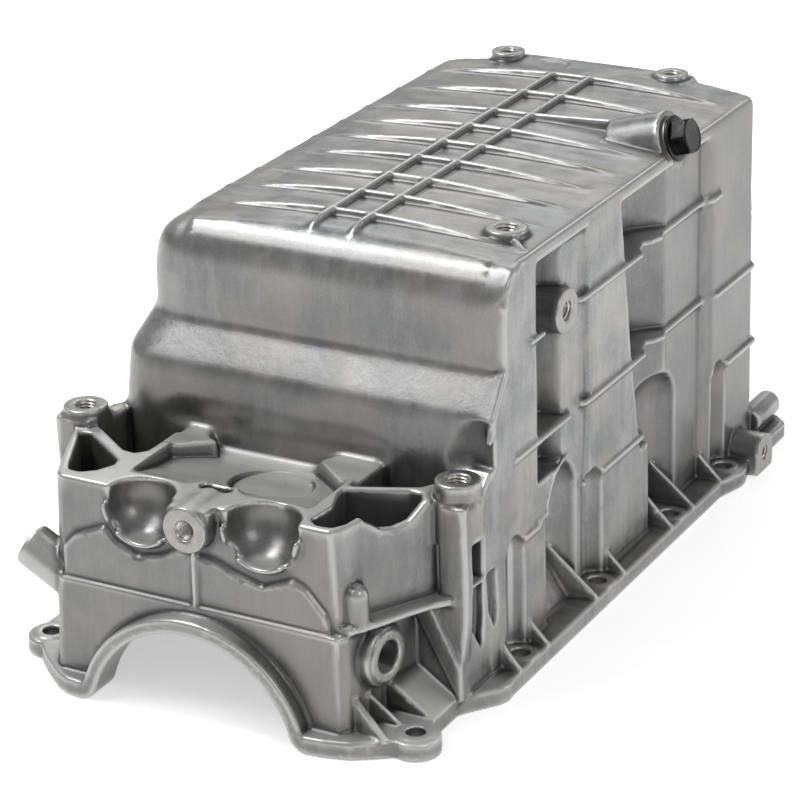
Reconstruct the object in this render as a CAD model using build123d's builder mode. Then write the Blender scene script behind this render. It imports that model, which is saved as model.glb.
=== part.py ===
from build123d import *
import math
import os

# Engine oil pan, die-cast aluminium, standing on its gasket flange with the sump
# on top.  Millimetres.  +Z up, X across the engine, Y along the crankshaft from the
# crank arch (front) to the back of the sump.  The working origin is on the gasket
# face, on the crankshaft centre line, level with the front flange bolt beside the
# arch; the files are written with the origin in the middle of the base.

# ---------------------------------------------------------------- driving sizes
flange_t = 9.0            # gasket flange thickness
rail_x = 116.0            # outer edge of the flange rails
back_y = 399.0            # back edge of the flange
arch_r = 52.8             # crank arch bore
arch_rim_r = 59.8         # outer radius of the arch's seal rim
arch_z = -8.0             # height of the arch axis
arch_x = -1.5             # sideways place of the arch axis
rim_y = -25.0             # front face of the arch rim and of the two feet
low_y = -16.5             # front wall below the ledge
high_y = -12.0            # front wall above the ledge
ledge_z = 55.5            # height of the ledge across the front wall
deck_z = 104.5            # tops of the webs round the front deck
dish_z = 95.5             # floor of the dished deck
boss_z = 111.9            # machined tops of the two front bosses
boss_x = 97.8             # sideways place of the two front bosses
boss_y = 47.0             # lengthways place of the two front bosses
boss_r = 10.6             # radius of the two front bosses
bolt_r = 4.5              # flange bolt holes (M8)
bolt_x = 107.5            # sideways place of the rail bolt holes
bolt_ys = (87.6, 171.3, 256.6, 322.3)
ear_x = 99.7              # front ear bolt holes
ear_right_y = 0.0
ear_left_y = 11.2
top_z = 199.0             # crown of the sump's top skin
edge_z = 196.3            # sump top at its right edge
wall_r = 104.8            # right wall of the sump
wall_l = -88.0            # left wall of the upper sump
low_l = -95.0             # left wall of the lower sump
wall_f = 80.5             # front wall of the upper sump
skin = 4.5                # casting wall
rib_ys = (114.5, 142.0, 169.0, 198.0, 224.0, 252.0, 279.0, 313.0, 347.0)
long_rib_xs = (-1.0, 20.0)
rib_crest_z = 202.6       # top of the ribs at the middle of the sump
plug_y = 278.0            # drain plug's place along the sump
plug_face_x = 97.2        # middle of the drain boss's machined face
plug_face_z = 199.5
plug_tilt = 16.5          # degrees the drain axis points above level
plug_bore_r = 6.95        # bore of the drain thread (M14)
plug_hex = 17.0           # across flats
plug_thread_l = 17.0      # shank length under the head
head_l = 8.2              # hex length
head_flange_t = 2.0
washer_t = 1.5

drain_plane = Plane(
    origin=(plug_face_x, plug_y, plug_face_z),
    x_dir=(0, 1, 0),
    z_dir=(math.cos(math.radians(plug_tilt)), 0, math.sin(math.radians(plug_tilt))),
)


port_plane = Plane(origin=(83.6, 7.0, 39.4), x_dir=(0.141, 0.99, 0.0), z_dir=(0.99, -0.141, 0.0))
tube_plane = Plane(origin=(-97.4, -4.0, 61.9), x_dir=(0.0, 1.0, 0.0), z_dir=(-0.883, 0.0, 0.469))


# ---------------------------------------------------------------- sump shell
with BuildPart() as upper:
    # straight upper part of the sump
    with BuildSketch(Plane.XY.offset(149.0)):
        with BuildLine():
            Polyline((wall_l + 24, wall_f), (wall_r - 6.5, wall_f), (wall_r - 3.2, wall_f + 0.9), (wall_r - 0.9, wall_f + 3.2),
                     (wall_r, wall_f + 6.5), (wall_r, 364.0), (100.0, 369.0),
                     (70.0, 374.5), (62.0, 385.5), (44.0, 388.5), (-22.0, 388.5), (-40.0, 385.0),
                     (-50.0, 373.5), (-78.0, 368.5), (wall_l, 356.0), (wall_l, wall_f + 24))
            RadiusArc((wall_l, wall_f + 24), (wall_l + 24, wall_f), -24)
        make_face()
    extrude(amount=55.0)
    # crowned top, wide round on the left shoulder, small one on the right edge
    with BuildSketch(Plane.XZ.offset(-40.0)):
        with BuildLine():
            Polyline((-66.0, 195.2), (-74.0, 193.6), (-81.5, 188.6), (-86.5, 180.5), (wall_l, 172.0),
                     (wall_l, 140.0), (wall_r, 140.0), (wall_r, 193.8), (103.9, 195.6), (102.3, edge_z))
            ThreePointArc((102.3, edge_z), (9.0, top_z), (-66.0, 195.2))
        make_face()
    extrude(amount=-380.0, mode=Mode.INTERSECT)
    # long roll from the top into the front wall, small round at the back
    with BuildSketch(Plane.YZ.offset(-120.0)):
        with BuildLine():
            l1 = Line((wall_f, 140.0), (wall_f, 178.0))
            l2 = TangentArc((wall_f, 178.0), (101.5, top_z), tangent=(0, 1))
            Polyline((101.5, top_z), (101.5, 210.0), (381.0, 210.0), (381.0, top_z), (386.0, 197.2),
                     (388.3, 193.5), (390.0, 187.0), (390.0, 140.0), (wall_f, 140.0))
        make_face()
    extrude(amount=260.0, mode=Mode.INTERSECT)

with BuildPart() as lower:
    # lower, wider part of the sump down to the flange
    with BuildSketch(Plane.XY):
        with BuildLine():
            Polyline((low_l - 0.8 + 22, 63.0), (wall_r + 1.0, 63.0), (wall_r + 1.0, 366.0), (101.0, 371.0), (71.0, 376.5),
                     (63.0, 387.5), (45.0, 390.5), (-23.0, 390.5), (-41.0, 387.0), (-51.0, 375.5),
                     (-80.0, 370.5), (low_l - 0.8, 358.0), (low_l - 0.8, 85.0))
            RadiusArc((low_l - 0.8, 85.0), (low_l - 0.8 + 22, 63.0), -22)
        make_face()
    with BuildSketch(Plane.XY.offset(113.0)):
        with BuildLine():
            Polyline((low_l + 22, 63.5), (wall_r + 0.3, 63.5), (wall_r + 0.3, 365.0), (100.5, 370.0), (70.5, 375.5),
                     (62.5, 386.5), (44.5, 389.5), (-22.5, 389.5), (-40.5, 386.0), (-50.5, 374.5),
                     (-79.0, 369.5), (low_l, 357.0), (low_l, 85.5))
            RadiusArc((low_l, 85.5), (low_l + 22, 63.5), -22)
        make_face()
    loft(ruled=True)
    with BuildSketch(Plane.XY.offset(113.0)):
        with BuildLine():
            Polyline((low_l + 22, 63.5), (wall_r + 0.3, 63.5), (wall_r + 0.3, 365.0), (100.5, 370.0), (70.5, 375.5),
                     (62.5, 386.5), (44.5, 389.5), (-22.5, 389.5), (-40.5, 386.0), (-50.5, 374.5),
                     (-79.0, 369.5), (low_l, 357.0), (low_l, 85.5))
            RadiusArc((low_l, 85.5), (low_l + 22, 63.5), -22)
        make_face()
    with BuildSketch(Plane.XY.offset(132.0)):
        with BuildLine():
            Polyline((low_l + 22.2, 67.0), (wall_r + 0.2, 67.0), (wall_r + 0.2, 365.0), (100.4, 370.0), (70.4, 375.5),
                     (62.4, 386.5), (44.4, 389.5), (-22.4, 389.5), (-40.4, 386.0), (-50.4, 374.5),
                     (-79.0, 369.4), (low_l + 0.2, 357.0), (low_l + 0.2, 89.0))
            RadiusArc((low_l + 0.2, 89.0), (low_l + 22.2, 67.0), -22)
        make_face()
    loft(ruled=True)
    # sloping shoulder between the two widths
    with BuildSketch(Plane.XY.offset(132.0)):
        with BuildLine():
            Polyline((low_l + 22.2, 67.0), (wall_r + 0.2, 67.0), (wall_r + 0.2, 365.0), (100.4, 370.0), (70.4, 375.5),
                     (62.4, 386.5), (44.4, 389.5), (-22.4, 389.5), (-40.4, 386.0), (-50.4, 374.5),
                     (-79.0, 369.4), (low_l + 0.2, 357.0), (low_l + 0.2, 89.0))
            RadiusArc((low_l + 0.2, 89.0), (low_l + 22.2, 67.0), -22)
        make_face()
    with BuildSketch(Plane.XY.offset(149.5)):
        with BuildLine():
            Polyline((wall_l + 24, wall_f), (wall_r, wall_f), (wall_r, 364.0), (100.0, 369.0),
                     (70.0, 374.5), (62.0, 385.5), (44.0, 388.5), (-22.0, 388.5), (-40.0, 385.0),
                     (-50.0, 373.5), (-78.0, 368.5), (wall_l, 356.0), (wall_l, wall_f + 24))
            RadiusArc((wall_l, wall_f + 24), (wall_l + 24, wall_f), -24)
        make_face()
    loft(ruled=True)


# ---------------------------------------------------------------- the casting
with BuildPart() as casting:
    # --- front housing, a closed block first
    with BuildSketch(Plane.XY):
        with BuildLine():
            Polyline((-79.0, -14.0), (-75.5, low_y), (70.5, low_y), (74.5, -12.5), (77.0, 8.0), (80.5, 24.0),
                     (82.5, 36.5), (92.0, 36.5), (92.0, 75.0), (-94.0, 75.0), (-101.0, 38.0), (-81.5, -10.0), (-79.0, -14.0))
        make_face()
    with BuildSketch(Plane.XY.offset(ledge_z)):
        with BuildLine():
            Polyline((-76.3, -14.0), (-73.0, low_y), (70.0, low_y), (73.5, -12.5), (76.0, 8.0), (80.0, 24.0),
                     (82.0, 36.5), (92.0, 36.5), (92.0, 75.0), (-94.0, 75.0), (-100.0, 38.0), (-78.5, -10.0), (-76.3, -14.0))
        make_face()
    loft(ruled=True)
    # upper half of the housing, set back behind the ledge
    with BuildSketch(Plane.XY.offset(ledge_z)):
        with BuildLine():
            Polyline((-78.0, -9.5), (-74.5, high_y), (69.0, high_y), (72.8, -6.0), (73.5, 5.0), (92.0, 39.0),
                     (92.0, 75.0), (-94.0, 75.0), (-99.5, 38.0), (-78.0, -9.5))
        make_face()
    with BuildSketch(Plane.XY.offset(deck_z)):
        with BuildLine():
            Polyline((-76.5, -9.5), (-73.0, high_y), (66.5, high_y), (70.0, -5.0), (73.0, 4.0), (91.0, 37.0),
                     (92.0, 75.0), (-94.0, 75.0), (-98.5, 38.0), (-76.5, -9.5))
        make_face()
    loft(ruled=True)
    # slightly raised panel over the ledge, following the two scoops
    with BuildSketch(Plane.XZ.offset(-high_y - 0.01)):
        Polygon((-72.5, ledge_z - 1), (-72.5, 70.0), (-66.0, 77.0), (-50.0, 84.0), (-44.0, 78.0), (-32.0, 73.0),
                (-20.0, 76.0), (-10.0, 81.0), (8.0, 79.0), (18.0, 75.0), (32.0, 71.5), (47.0, 77.5), (54.0, 75.0),
                (64.0, 64.0), (66.5, ledge_z - 1), align=None)
    extrude(amount=2.6)
    # shelf across the right front, under the set-back wall
    with BuildSketch(Plane.XY.offset(ledge_z)):
        Polygon((70.0, -12.5), (75.5, -11.0), (79.5, -4.0), (84.5, 6.0), (89.5, 17.0), (95.0, 27.0), (101.0, 34.2), (101.0, 38.0), (90.0, 42.0),
                (74.0, 12.0), (70.0, 0.0), align=None)
    extrude(amount=3.6)
    # rounded bump over the shelf's front end
    with BuildSketch(Plane.XY.offset(ledge_z)):
        with Locations((74.0, -3.5)):
            Circle(5.4)
    extrude(amount=16.5)
    with Locations((74.0, -3.5, ledge_z + 16.5)):
        Sphere(5.4)
    # machined-boss pillars: round body, square front web
    with BuildSketch(Plane.XY.offset(84.0)):
        with Locations((boss_x, boss_y), (-boss_x, boss_y)):
            Circle(11.8)
    extrude(amount=108.4 - 84.0)
    with BuildSketch(Plane.XZ.offset(-36.5)):
        Polygon((-108.5, 108.0), (-90.0, 108.0), (-90.0, 10.0), (-103.5, 10.0), (-107.5, 60.0), align=None)
    extrude(amount=-4.6)
    with BuildSketch(Plane.XZ.offset(-35.0)):
        Polygon((93.9, 108.4), (106.6, 108.4), (107.8, 65.0), (107.6, 47.0), (104.8, 25.0), (104.8, 8.0), (80.0, 8.0), (80.0, 57.5), (93.9, 57.5), align=None)
    extrude(amount=-7.0)
    # slanted strut across the panel under the shelf
    with BuildSketch(Plane.XZ.offset(-33.0)):
        Polygon((82.5, 48.5), (86.0, 53.0), (91.3, 53.0), (105.0, 25.5), (105.2, 8.5), (103.8, 8.5), align=None)
    extrude(amount=-3.0)
    with BuildSketch(Plane.YZ.offset(88.0)):
        Polygon((38.0, 105.0), (66.0, 105.0), (66.0, 8.0), (40.0, 8.0), align=None)
    extrude(amount=6.0)
    with BuildSketch(Plane.XY.offset(8.0)):
        Polygon((88.0, 40.0), (104.9, 40.0), (104.9, 66.0), (88.0, 66.0), align=None)
    extrude(amount=53.0)
    with BuildSketch(Plane.XY.offset(60.0)):
        Polygon((96.0, 57.2), (103.6, 57.2), (104.9, 58.5), (104.9, 66.0), (96.0, 66.0), align=None)
    extrude(amount=48.0)
    with BuildSketch(Plane.YZ.offset(-98.0)):
        Polygon((38.0, 105.0), (70.0, 105.0), (70.0, 8.0), (36.0, 8.0), align=None)
    extrude(amount=6.0)

    # --- deck: dished floor, pockets between the webs
    with BuildSketch(Plane.YZ.offset(-46.5)):
        Polygon((75.0, dish_z - 1.5), (50.0, dish_z), (26.0, dish_z + 2.5), (12.0, dish_z + 6.0), (4.0, deck_z + 0.5),
                (4.0, 130.0), (75.0, 130.0), align=None)
    extrude(amount=93.0, mode=Mode.SUBTRACT)
    with BuildSketch(Plane.XY.offset(62.0)):
        Polygon((-92.0, 32.5), (-87.0, 34.0), (-59.0, 14.0), (-57.5, 8.0), (-61.0, 0.0), (-67.0, -5.0), (-73.0, -4.5),
                (-76.5, 1.0), align=None)
        Polygon((-88.0, 42.0), (-84.5, 40.0), (-62.0, 24.0), (-56.0, 23.5), (-52.0, 28.0), (-51.5, 72.0), (-88.0, 72.0), align=None)
        Polygon((52.5, -3.5), (57.0, -7.5), (64.5, -7.5), (68.0, -2.0), (69.0, 7.0), (85.5, 36.0), (82.5, 41.0), (77.0, 41.5),
                (49.5, 29.5), (50.0, 24.0), (54.5, 12.0), align=None)
        Polygon((49.0, 35.0), (52.0, 34.5), (79.0, 46.5), (84.0, 54.0), (87.5, 60.0), (87.5, 72.0), (50.0, 72.0), align=None)
    extrude(amount=60.0, mode=Mode.SUBTRACT)
    # the web in front of the right pocket dips between its ends
    with BuildSketch(Plane(origin=(82.0, 20.0, deck_z), x_dir=(18, 33, 0), z_dir=(33, -18, 0))):
        with BuildLine():
            l1 = Polyline((-18.0, 12.0), (-18.0, 0.4), (-15.5, -2.2), (-11.5, -4.8), (-8.3, -7.3), (-1.0, -8.6), (6.8, -7.6), (11.3, -3.8), (14.0, -1.4), (17.0, 0.4), (17.0, 12.0), (-18.0, 12.0))
        make_face()
    extrude(amount=12.0, both=True, mode=Mode.SUBTRACT)

    # --- gasket flange
    with BuildSketch(Plane.XY):
        Polygon((48.0, -25.0), (58.0, -25.5), (66.0, -24.8), (78.4, -21.6), (88.5, -15.3), (95.0, -10.6), (107.0, 9.0), (102.2, 12.0),
                (102.2, 35.5), (104.2, 38.6), (115.3, 54.0), (116.6, 58.5), (rail_x, 64.0), (rail_x, 391.0), (108.0, back_y),
                (-108.0, back_y), (-rail_x, 391.0), (-rail_x, 64.0), (-114.5, 56.5), (-108.6, 42.0), (-108.0, 9.0), (-98.6, -0.6),
                (-88.0, -11.0), (-75.6, -20.9), (-69.0, -24.4), (-62.0, -25.5), (-48.0, -25.0), (-48.0, 10.0), (48.0, 10.0), align=None)
        with Locations((ear_x, ear_right_y)):
            Circle(11.6)
        with Locations((-ear_x, ear_left_y)):
            Circle(11.6)
        with Locations((bolt_x + 1.3, bolt_ys[3]), (-bolt_x - 1.3, bolt_ys[3])):
            Circle(11.8)
        Polygon((104.0, 303.0), (rail_x, 303.0), (120.3, 319.0), (120.3, 326.0), (rail_x, 341.0), (104.0, 341.0), align=None)
    extrude(amount=flange_t)
    # crank arch: seal rim, and the step behind it
    with BuildSketch(Plane.XZ.offset(16.0)):
        with Locations((arch_x, arch_z)):
            Circle(arch_rim_r + 1.5)
    extrude(amount=-26.0)
    with BuildSketch(Plane.XZ.offset(-rim_y)):
        with Locations((arch_x, arch_z)):
            Circle(arch_rim_r)
    extrude(amount=-12.0)

    # --- sump
    add(upper.part)
    add(lower.part)
    # concave sweep from the lower front wall down to the dish
    with BuildSketch(Plane.YZ.offset(-58.0)):
        with Locations((52.5, 108.0)):
            Circle(13.0)
    extrude(amount=106.0, mode=Mode.SUBTRACT)
    with Locations((-58.0, 52.5, 108.0), (48.0, 52.5, 108.0)):
        Sphere(13.0, mode=Mode.SUBTRACT)
    # socket clearance round the right front boss, domed at the top
    with BuildSketch(Plane.XY.offset(boss_z - 3.4)):
        with Locations((boss_x + 1.0, boss_y)):
            Circle(22.5)
    extrude(amount=14.0, mode=Mode.SUBTRACT)
    with Locations((boss_x + 1.0, boss_y, boss_z + 10.0)):
        Sphere(22.5, mode=Mode.SUBTRACT)

    # --- right wall: two deep recesses, a set-back pillar and a set-back face
    with BuildSketch(Plane.XY.offset(84.0)):
        Polygon((112.0, 111.0), (105.0, 112.2), (91.5, 114.0), (88.0, 118.5), (88.0, 132.0), (92.0, 138.5), (102.5, 142.5), (112.0, 143.0), align=None)
    extrude(amount=191.3 - 84.0, mode=Mode.SUBTRACT)
    with BuildSketch(Plane.XY.offset(flange_t)):
        Polygon((102.6, 138.0), (112.0, 138.0), (112.0, 167.8), (104.8, 167.8), (102.6, 164.5), align=None)
    extrude(amount=191.3 - flange_t, mode=Mode.SUBTRACT)
    with BuildSketch(Plane.YZ.offset(83.8)):
        Polygon((203.0, 191.3), (207.0, 168.0), (214.5, 113.0), (225.5, 57.0), (262.0, 57.0), (262.0, 191.3), align=None)
    extrude(amount=30.0, mode=Mode.SUBTRACT)
    with BuildSketch(Plane.XY.offset(57.0)):
        Polygon((83.0, 240.0), (88.5, 250.0), (95.0, 257.0), (101.0, 262.5), (101.0, 270.0), (83.0, 270.0), align=None)
        Polygon((83.0, 200.0), (91.0, 200.0), (86.0, 213.5), (83.0, 221.0), align=None)
    extrude(amount=191.3 - 57.0)
    with BuildSketch(Plane.XY.offset(flange_t)):
        Polygon((101.0, 258.0), (112.0, 258.0), (112.0, 314.0), (104.8, 313.0), (103.0, 306.0), (101.0, 303.5), align=None)
    extrude(amount=191.3 - flange_t, mode=Mode.SUBTRACT)
    # domed bolt and tool clearances in the lower wall
    with BuildSketch(Plane.XY.offset(flange_t)):
        with Locations((107.5, bolt_ys[2])):
            Circle(21.5)
    extrude(amount=63.0 - flange_t, mode=Mode.SUBTRACT)
    with Locations((107.5, bolt_ys[2], 63.0)):
        Sphere(21.5, mode=Mode.SUBTRACT)
    with BuildSketch(Plane.XY.offset(flange_t)):
        with Locations((107.0, 139.0)):
            Circle(19.5)
    extrude(amount=64.0 - flange_t, mode=Mode.SUBTRACT)
    with Locations((107.0, 139.0, 64.0)):
        Sphere(19.5, mode=Mode.SUBTRACT)
    with BuildSketch(Plane.XY.offset(flange_t)):
        with Locations((bolt_x, bolt_ys[0]), (bolt_x, bolt_ys[1])):
            Circle(9.2)
        with Locations((bolt_x + 1.3, bolt_ys[3])):
            Circle(9.2)
    extrude(amount=50.0, mode=Mode.SUBTRACT)
    with Locations((bolt_x, bolt_ys[0], 59.0), (bolt_x, bolt_ys[1], 59.0), (bolt_x + 1.3, bolt_ys[3], 59.0)):
        Sphere(9.2, mode=Mode.SUBTRACT)
    # left wall: shallow bolt clearances
    with BuildSketch(Plane.XY.offset(flange_t)):
        with Locations((-bolt_x, bolt_ys[0]), (-bolt_x, bolt_ys[1]), (-bolt_x, bolt_ys[2]), (-bolt_x - 1.3, bolt_ys[3])):
            Circle(14.0)
    extrude(amount=40.0, mode=Mode.SUBTRACT)
    with Locations((-bolt_x, bolt_ys[0], 49.0), (-bolt_x, bolt_ys[1], 49.0), (-bolt_x, bolt_ys[2], 49.0), (-bolt_x - 1.3, bolt_ys[3], 49.0)):
        Sphere(14.0, mode=Mode.SUBTRACT)

    # --- ribs along the right wall, running across the recesses as shelves
    with BuildSketch(Plane.XY.offset(157.0)):
        Polygon((100.0, 157.0), (104.8, 155.5), (106.9, 159.0), (106.9, 224.0), (103.0, 229.0), (100.5, 238.0), (103.5, 242.0), (105.5, 250.0),
                (103.2, 256.0), (103.2, 299.0), (104.0, 306.0), (106.9, 310.0), (106.9, 322.0), (98.0, 322.0), (98.0, 262.0), (84.0, 250.0), (84.0, 205.0), (100.0, 205.0), align=None)
    extrude(amount=3.0)
    with BuildSketch(Plane.XY.offset(104.0)):
        Polygon((100.0, 160.0), (104.8, 158.5), (106.9, 162.0), (106.9, 228.0), (103.0, 234.0), (100.5, 242.0), (103.5, 246.0), (106.0, 252.0),
                (103.2, 260.0), (103.2, 302.0), (104.0, 308.0), (106.9, 316.0), (106.9, 366.0), (98.0, 374.0), (98.0, 262.0), (84.0, 250.0), (84.0, 212.0), (100.0, 212.0), align=None)
        Polygon((102.0, 85.0), (106.9, 87.0), (106.9, 143.0), (104.5, 148.0), (98.0, 148.0), (86.0, 134.0), (86.0, 116.0), (98.0, 108.0), align=None)
    extrude(amount=3.0)
    with BuildSketch(Plane.XY.offset(61.5)):
        Polygon((100.0, 163.0), (104.8, 161.0), (106.9, 165.0), (106.9, 226.0), (104.0, 231.0), (99.0, 234.0), (88.0, 236.0), (84.0, 232.0), (84.0, 220.0), (100.0, 220.0), align=None)
        Polygon((98.0, 303.0), (101.0, 303.0), (103.5, 308.0), (106.5, 316.0), (107.3, 320.0), (107.3, 368.0), (99.0, 376.0), (98.0, 320.0), align=None)
        Polygon((102.0, 87.0), (106.9, 89.0), (106.9, 112.0), (104.8, 116.0), (100.0, 116.0), align=None)
    extrude(amount=3.0)
    with BuildSketch(Plane.XY.offset(155.0)):
        Polygon((101.0, 103.0), (106.6, 105.0), (106.6, 119.0), (98.0, 119.0), (90.0, 116.0), align=None)
    extrude(amount=2.6)
    # triangular gussets between the wall and the right flange rail
    with BuildSketch(Plane.XZ.offset(-71.6)):
        Polygon((90.0, 8.0), (115.0, 8.0), (115.0, 10.2), (101.5, 26.0), (90.0, 30.0), align=None)
    extrude(amount=-2.8)
    with BuildSketch(Plane.XZ.offset(-100.3)):
        Polygon((90.0, 8.0), (115.0, 8.0), (115.0, 10.2), (103.0, 22.5), (90.0, 30.0), align=None)
    extrude(amount=-2.8)
    with BuildSketch(Plane.XZ.offset(-184.6)):
        Polygon((92.0, 8.0), (115.0, 8.0), (115.0, 10.2), (103.5, 21.5), (92.0, 26.0), align=None)
    extrude(amount=-2.8)
    with BuildSketch(Plane.XZ.offset(-241.6)):
        Polygon((84.0, 8.0), (115.0, 8.0), (115.0, 10.2), (98.5, 26.0), (84.0, 34.0), align=None)
    extrude(amount=-2.8)
    with BuildSketch(Plane.XZ.offset(-268.6)):
        Polygon((84.0, 8.0), (115.0, 8.0), (115.0, 10.2), (86.0, 34.0), (84.0, 34.0), align=None)
    extrude(amount=-2.8)
    with BuildSketch(Plane.XZ.offset(-303.6)):
        Polygon((96.0, 8.0), (115.0, 8.0), (115.0, 10.2), (103.0, 22.0), (96.0, 26.0), align=None)
    extrude(amount=-2.8)
    with BuildSketch(Plane(origin=(116.0, 154.3, 0.0), x_dir=(26.0, 4.5, 0.0), z_dir=(4.5, -26.0, 0.0))):
        Polygon((-30.0, 8.0), (0.0, 8.0), (0.0, 10.2), (-26.0, 36.0), (-30.0, 38.0), align=None)
    extrude(amount=1.3, both=True)
    # sloping foot inside the bolt clearance beside it
    with BuildSketch(Plane.XZ.offset(-124.0)):
        Polygon((82.0, 8.0), (101.5, 8.0), (101.0, 9.4), (89.5, 27.0), (82.0, 31.0), align=None)
    extrude(amount=-28.0)
    # gussets on the left rail
    for gy in (72.0, 104.0, 155.0, 187.0, 241.0, 272.0, 305.0, 339.0):
        with BuildSketch(Plane.XZ.offset(-gy)):
            Polygon((-90.0, 8.0), (-115.0, 8.0), (-115.0, 10.2), (-96.5, 34.0), (-90.0, 36.0), align=None)
        extrude(amount=-3.0)

    # --- front corner: small gusset by the ear, ramp onto the flange's notch
    with BuildSketch(Plane(origin=(74.5, -8.0, 0.0), x_dir=(18.0, -5.0, 0.0), z_dir=(-5.0, -18.0, 0.0))):
        Polygon((-8.0, 8.0), (19.0, 8.0), (19.0, 10.0), (0.5, 24.0), (-8.0, 30.0), align=None)
    extrude(amount=1.5, both=True)
    with BuildSketch(Plane(origin=(74.5, 1.5, 0.0), x_dir=(18.0, 0.5, 0.0), z_dir=(0.5, -18.0, 0.0))):
        Polygon((-4.0, 8.0), (18.0, 8.0), (18.0, 10.0), (2.5, 22.0), (-4.0, 24.0), align=None)
    extrude(amount=1.3, both=True)
    with BuildSketch(Plane.XZ.offset(-12.7)):
        Polygon((74.0, 8.0), (102.0, 8.0), (102.0, 9.2), (80.0, 24.2), (74.0, 28.0), align=None)
    extrude(amount=-24.0)

    # --- oil port on the right front wall, in a round clearance
    with BuildSketch(port_plane):
        Circle(18.0)
        with Locations((0.0, 25.0)):
            Rectangle(50.0, 18.4, mode=Mode.SUBTRACT)
        with Locations((-26.0, 0.0)):
            Rectangle(20.0, 60.0, mode=Mode.SUBTRACT)
    extrude(amount=-4.4, mode=Mode.SUBTRACT)
    with BuildSketch(port_plane):
        Circle(18.0)
        with Locations((0.0, 25.0)):
            Rectangle(50.0, 18.4, mode=Mode.SUBTRACT)
    extrude(amount=14.0, mode=Mode.SUBTRACT)
    with BuildSketch(port_plane.offset(-1.6)):
        Circle(14.2)
    extrude(amount=-12.0)
    with BuildSketch(port_plane):
        Circle(12.2)
    extrude(amount=-14.0)
    # tube socket on the left front wall, pointing out and up
    with BuildSketch(tube_plane):
        Circle(10.5)
    extrude(amount=-32.0)

    # --- bosses on the outside
    with BuildSketch(Plane.XY.offset(100.0)):
        with Locations((boss_x, boss_y), (-boss_x, boss_y)):
            Circle(boss_r)
    extrude(amount=boss_z - 100.0)
    with BuildSketch(Plane.XZ.offset(22.0)):
        with Locations((-2.0, 95.0)):
            Circle(11.0)
    extrude(amount=-26.0)
    with BuildSketch(Plane.XZ.offset(19.0)):
        Polygon((-13.0, 95.0), (-13.0, 103.0), (-11.5, 104.5), (7.5, 104.5), (9.0, 103.0), (9.0, 95.0), align=None)
    extrude(amount=-30.0)
    with BuildSketch(Plane.XZ.offset(-8.0)):
        Polygon((-15.0, 90.0), (-15.0, 104.5), (11.0, 104.5), (11.0, 90.0), align=None)
    extrude(amount=16.0)
    # seam under the front boss
    with BuildSketch(Plane.XZ.offset(11.0)):
        Polygon((-3.0, ledge_z), (-3.0, 90.0), (-1.0, 90.0), (-1.0, ledge_z), align=None)
    extrude(amount=5.6)
    with BuildSketch(Plane.YZ.offset(84.0)):
        with Locations((140.0, 159.5)):
            Circle(11.0)
    extrude(amount=23.0)
    with BuildSketch(Plane.YZ.offset(98.0)):
        with Locations((346.0, 10.2)):
            Circle(10.2)
        Polygon((335.8, 0.0), (356.2, 0.0), (356.2, 10.2), (335.8, 10.2), align=None)
    extrude(amount=25.0)
    with BuildSketch(Plane.XZ.offset(-366.0)):
        with Locations((104.0, 16.5)):
            Circle(7.0)
        Polygon((101.0, 8.0), (107.0, 8.0), (107.0, 16.0), (101.0, 16.0), align=None)
    extrude(amount=-30.0)

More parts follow.
